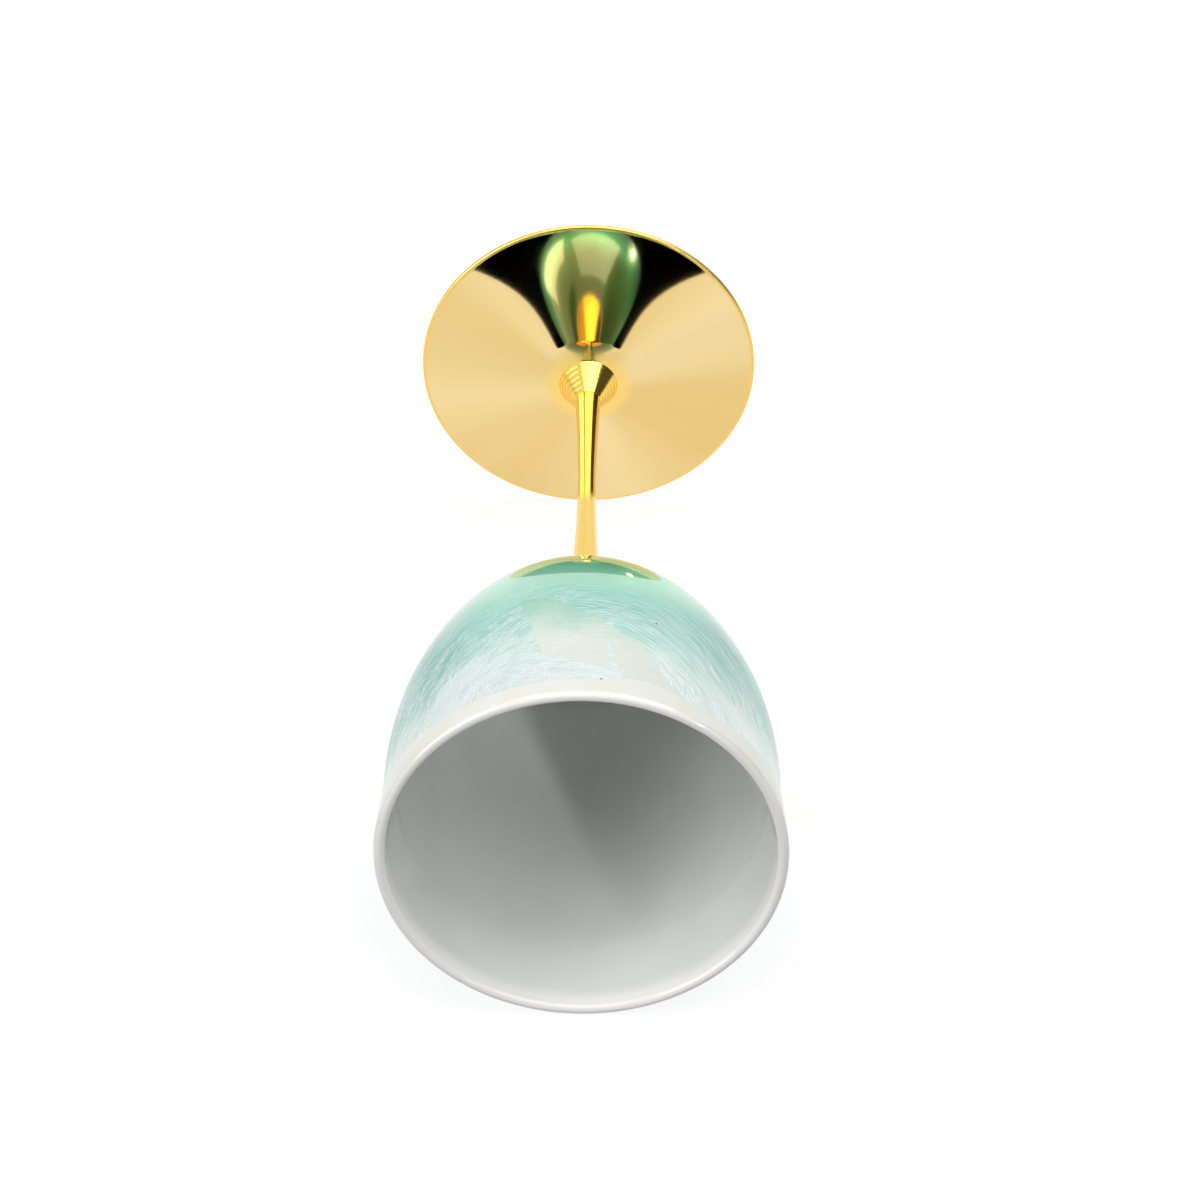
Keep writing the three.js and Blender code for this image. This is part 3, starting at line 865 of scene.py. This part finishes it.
# %% [markdown]
# ## Washer, spring washer and nut
# Under the foot, a nut on the tenon clamps everything. The flat washer is a ring with eased edges. The
# spring washer is the same kind of section swept not quite all the way round, with square-cut ends.
# The nut could be cut from a six-sided bar, but the lathe does it too: its outline goes out to six
# corners, and a cone rounds them off.

# %% Turn the washers
WASHER_TOP, WASHER_THICK, WASHER_RADIUS = 5.6, 0.5, 3.5
SPRING_THICK, SPRING_RADIUS, SPRING_GAP = 0.6, 3.0, 0.7
EASED = 0.08

spring_top = WASHER_TOP - WASHER_THICK
nut_top = spring_top - SPRING_THICK


def eased_section(inner, outer, bottom, top):
    """A rectangle of (radius, height) points with its corners cut off."""
    return [(inner + EASED, bottom), (outer - EASED, bottom), (outer, bottom + EASED), (outer, top - EASED),
            (outer - EASED, top), (inner + EASED, top), (inner, top - EASED), (inner, bottom + EASED)]


washer_run = eased_section(BORE_RADIUS, WASHER_RADIUS, spring_top, WASHER_TOP)
washer = turned("flat_washer", lambda angle: washer_run, 96, (zinc_steel,), closed=True)
stand_for(washer, "foot_washer")

spring_run = eased_section(BORE_RADIUS, SPRING_RADIUS, nut_top, spring_top)
half_gap = SPRING_GAP / SPRING_RADIUS / 2
spring = turned("split_spring_washer", lambda angle: spring_run, 90, (zinc_steel,), closed=True,
                sweep=FULL_TURN - 2 * half_gap, start=half_gap)
stand_for(spring, "foot_lock_washer")

# %% Turn the nut
NUT_HEIGHT, NUT_FLAT, NUT_SIDES, NUT_CHAMFER = 1.8, 2.75, 6, math.tan(math.radians(30))
NUT_LEAD = 0.2
nut_bottom = nut_top - NUT_HEIGHT


def nut_profile(angle):
    """The nut's section at an angle: bore, faces, cone-cut corners and flat side."""
    sector = FULL_TURN / NUT_SIDES
    corner = NUT_FLAT / math.cos((angle % sector) - sector / 2)
    drop = (corner - NUT_FLAT) * NUT_CHAMFER + EASED / 2
    return [
        (BORE_RADIUS + NUT_LEAD, nut_bottom), (NUT_FLAT - EASED, nut_bottom),
        (corner, nut_bottom + drop), (corner, nut_top - drop),
        (NUT_FLAT - EASED, nut_top), (BORE_RADIUS + NUT_LEAD, nut_top),
        (BORE_RADIUS, nut_top - NUT_LEAD), (BORE_RADIUS, nut_bottom + NUT_LEAD),
    ]


nut = turned("hexagon_nut", nut_profile, 120, (zinc_steel,), closed=True)
stand_for(nut, "foot_nut")

# %% [markdown]
# ## The resin
# A thin cup of cured resin fills the gap round the peg. Nothing of it shows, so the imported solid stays
# as it is and only takes a proper finish: honey-coloured, cloudy and slightly glossy.

# %% Finish the resin
RESIN_DARK, RESIN_LIGHT = shade(214, 190, 140), shade(232, 214, 170)

cured_resin, tree, output = new_finish("cured_resin")
where = use_group(tree, where_group)
haze = cloud(tree, where["Point"], 1.2, 3.0)
resin = place(tree, "ShaderNodeBsdfPrincipled", {
    "Base Color": mingle(tree, haze, RESIN_DARK, RESIN_LIGHT),
    "Roughness": ease(tree, haze, 0.2, 0.8, 0.28, 0.42),
})
tree.links.new(resin.outputs[0], output["Surface"])
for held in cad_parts["bowl_adhesive"].material_slots:
    held.material = cured_resin
print("finish:", cured_resin.name)

# %% [markdown]
# ## Floor and paper
# The cup is shown lying on its side. In its own frame, what it lies on stands upright behind it: a
# white paper that touches foot and lip. A level floor under the foot serves all other views. Both are
# plain diffuse white with a little light of their own for the eye and for reflections, so that they
# read as white and still keep the cup's shadow. More lamp light would whiten them too, but bleach the
# cup. Farther out that light fades to a pale grey, so the white lip still stands out in views from the
# side. Seen from behind the sheets vanish.

# %% Helpers for white sheets
FAR_LIGHT, FAR_MATT = (0.74, 0.74, 0.74, 1), (0.02, 0.02, 0.02, 1)
SHEET_FADE = (170, 560)


def sheet_finish(name, own_light, matt):
    """White in front and clear from behind, with light of its own for the eye and for reflections."""
    material, tree, output = new_finish(name)
    path = tree.nodes.new("ShaderNodeLightPath").outputs
    watched = reckon(tree, "MAXIMUM", path["Is Camera Ray"], path["Is Glossy Ray"])
    watched = reckon(tree, "MAXIMUM", watched, path["Is Transmission Ray"])
    far = ease(tree, use_group(tree, where_group)["Out"], *SHEET_FADE)
    lit = place(tree, "ShaderNodeBsdfDiffuse", {"Color": mingle(tree, far, matt, FAR_MATT)}).outputs[0]
    own_colour = mingle(tree, far, own_light, FAR_LIGHT)
    glow = place(tree, "ShaderNodeEmission", {"Color": own_colour, "Strength": watched}).outputs[0]
    front = place(tree, "ShaderNodeAddShader", {0: lit, 1: glow}).outputs[0]
    clear = tree.nodes.new("ShaderNodeBsdfTransparent").outputs[0]
    behind = tree.nodes.new("ShaderNodeNewGeometry").outputs["Backfacing"]
    sheet = place(tree, "ShaderNodeMixShader", {0: behind, 1: front, 2: clear}).outputs[0]
    tree.links.new(sheet, output["Surface"])
    return material


def white_sheet(name, corners, own_light, matt):
    """A stage sheet through four corners, in mm, that shows on its front only."""
    mesh = bpy.data.meshes.new(name)
    mesh.from_pydata([[x * MM for x in corner] for corner in corners], [], [range(len(corners))])
    mesh.materials.append(sheet_finish(name, own_light, matt))
    piece = bpy.data.objects.new(name, mesh)
    scene.collection.objects.link(piece)
    piece.visible_shadow = False
    piece.visible_diffuse = False
    return piece


print("sheets fade from", SHEET_FADE[0], "to", SHEET_FADE[1], "mm out")

# %% Lay floor and paper
FLOOR_WHITE, FLOOR_MATT = (0.9, 0.9, 0.9, 1), (0.2, 0.2, 0.2, 1)
PAPER_WHITE, PAPER_MATT = (0.84, 0.865, 0.87, 1), (0.19, 0.155, 0.15, 1)
FLOOR_REACH, PAPER_REACH, PAPER_TOP, PAPER_BOTTOM = 4000, 900, 250, -250
PAPER_GAP = 0.05

paper_lean = (LIP_RADIUS - FOOT_RADIUS) / (LIP_CENTRE - FOOT_ROUND)
paper_foot = FOOT_RADIUS + PAPER_GAP - paper_lean * FOOT_ROUND
paper_head = paper_foot + paper_lean * PAPER_TOP
paper_base = paper_foot + paper_lean * PAPER_BOTTOM
floor_sheet = white_sheet("studio_floor", (
    (-FLOOR_REACH, -FLOOR_REACH, 0), (FLOOR_REACH, -FLOOR_REACH, 0),
    (FLOOR_REACH, FLOOR_REACH, 0), (-FLOOR_REACH, FLOOR_REACH, 0)), FLOOR_WHITE, FLOOR_MATT)
floor_sheet.visible_glossy = False
white_sheet("studio_paper", (
    (-PAPER_REACH, paper_base, PAPER_BOTTOM), (PAPER_REACH, paper_base, PAPER_BOTTOM),
    (PAPER_REACH, paper_head, PAPER_TOP), (-PAPER_REACH, paper_head, PAPER_TOP)), PAPER_WHITE, PAPER_MATT)
print("paper leans", round(math.degrees(math.atan(paper_lean)), 2), "degrees")

# %% [markdown]
# ## Lamps
# A wide, square soft box stands low before the cup and a smaller one higher on its left, so polished
# metal shows two bright bands with a dark line between, and the inside of the bowl is lit mostly near
# its lip. A small lamp above, on the right, gives the glints on the glaze and the shadow's edge inside.
# Lamps could be set in watts, but a mirror shows brightness per area, so that is what is given here.

# %% Hang the lamps
LAMP_AIM = Vector((0, 0, 100))


def soft_light(name, place_mm, size_mm, radiance, shape="RECTANGLE"):
    """An area lamp of a given brightness per area, aimed at the bowl."""
    lamp = bpy.data.lights.new(name, "AREA")
    lamp.shape = shape
    lamp.size, lamp.size_y = (side * MM for side in size_mm)
    area = lamp.size * lamp.size_y * (math.pi / 4 if shape == "ELLIPSE" else 1)
    lamp.energy = radiance * math.pi * area
    light = bpy.data.objects.new(name, lamp)
    light.location = Vector(place_mm) * MM
    light.rotation_euler = (LAMP_AIM - Vector(place_mm)).to_track_quat("-Z", "Y").to_euler()
    scene.collection.objects.link(light)
    print(name, round(lamp.energy, 2), "W")


soft_light("front_soft_box", (-212, -1266, 303), (1688, 1562), 2.05)
soft_light("left_soft_box", (963, -470, 744), (910, 717), 3.9)
soft_light("glint_lamp", (-438, -186, 667), (50, 50), 150, "ELLIPSE")

# %% [markdown]
# ## The studio round the cup
# Polished metal is only as good as what it mirrors. Panels could be built for it, but a world that is
# bright and dark by direction does the same in every view. It is white below and round the horizon. It
# is unlit overhead, which the foot mirrors as black, on the right, and low on the left, where the metal
# gets its dark edges. Matt surfaces get a dimmer world, and the eye sees a plain pale grey.

# %% World: what metal mirrors
OVERHEAD, ABOVE_FLOOR, LEFT_LOW = (0.48, 0.64), (-0.65, -0.4), (-0.2, -0.3)
RIGHT_SIDE, LEFT_SIDE = (-0.5, -0.8), (0.5, 0.75)
MIRROR_BRIGHT, MIRROR_DARK, MIRROR_BLACK = 0.95, 0.08, 0.0

world = bpy.data.worlds.new("studio")
world.use_nodes = True
tree = world.node_tree
tree.nodes.clear()
heading = tree.nodes.new("ShaderNodeTexCoord").outputs["Generated"]
axes = place(tree, "ShaderNodeSeparateXYZ", {0: heading}).outputs
overhead = ease(tree, axes["Z"], *OVERHEAD)
above_floor = ease(tree, axes["Z"], *ABOVE_FLOOR)
right_side = reckon(tree, "MULTIPLY", ease(tree, axes["X"], *RIGHT_SIDE), above_floor)
left_low = reckon(tree, "MULTIPLY", above_floor, ease(tree, axes["Z"], *LEFT_LOW))
left_side = reckon(tree, "MULTIPLY", ease(tree, axes["X"], *LEFT_SIDE), left_low)
both_sides = reckon(tree, "MAXIMUM", right_side, left_side)
round_about = ease(tree, both_sides, 0, 1, MIRROR_BRIGHT, MIRROR_DARK)
in_mirror = blend(tree, overhead, round_about, MIRROR_BLACK)
print("mirrored world:", len(tree.nodes), "nodes")

# %% World: what matt surfaces get and the eye sees
FROM_BELOW, FROM_PAPER = (-0.5, 0.0, 0.16, 0.3), (0.2, 0.8, 1.0, 1.5)
MATT_OVERHEAD, EYE_LEVEL = 0.03, 0.75

from_below = ease(tree, axes["Z"], *FROM_BELOW)
from_paper = ease(tree, axes["Y"], *FROM_PAPER)
on_matt = reckon(tree, "MULTIPLY", from_below, ease(tree, overhead, 0, 1, 1.0, MATT_OVERHEAD))
on_matt = reckon(tree, "MULTIPLY", on_matt, from_paper)
path = tree.nodes.new("ShaderNodeLightPath").outputs
mirrored = reckon(tree, "MAXIMUM", path["Is Glossy Ray"], path["Is Transmission Ray"])
level = blend(tree, mirrored, on_matt, in_mirror)
level = blend(tree, path["Is Camera Ray"], level, EYE_LEVEL)
sky = place(tree, "ShaderNodeBackground", {"Color": (1, 1, 1, 1), "Strength": level}).outputs[0]
tree.links.new(sky, tree.nodes.new("ShaderNodeOutputWorld").inputs["Surface"])
scene.world = world
print("world:", world.name, len(tree.nodes), "nodes")
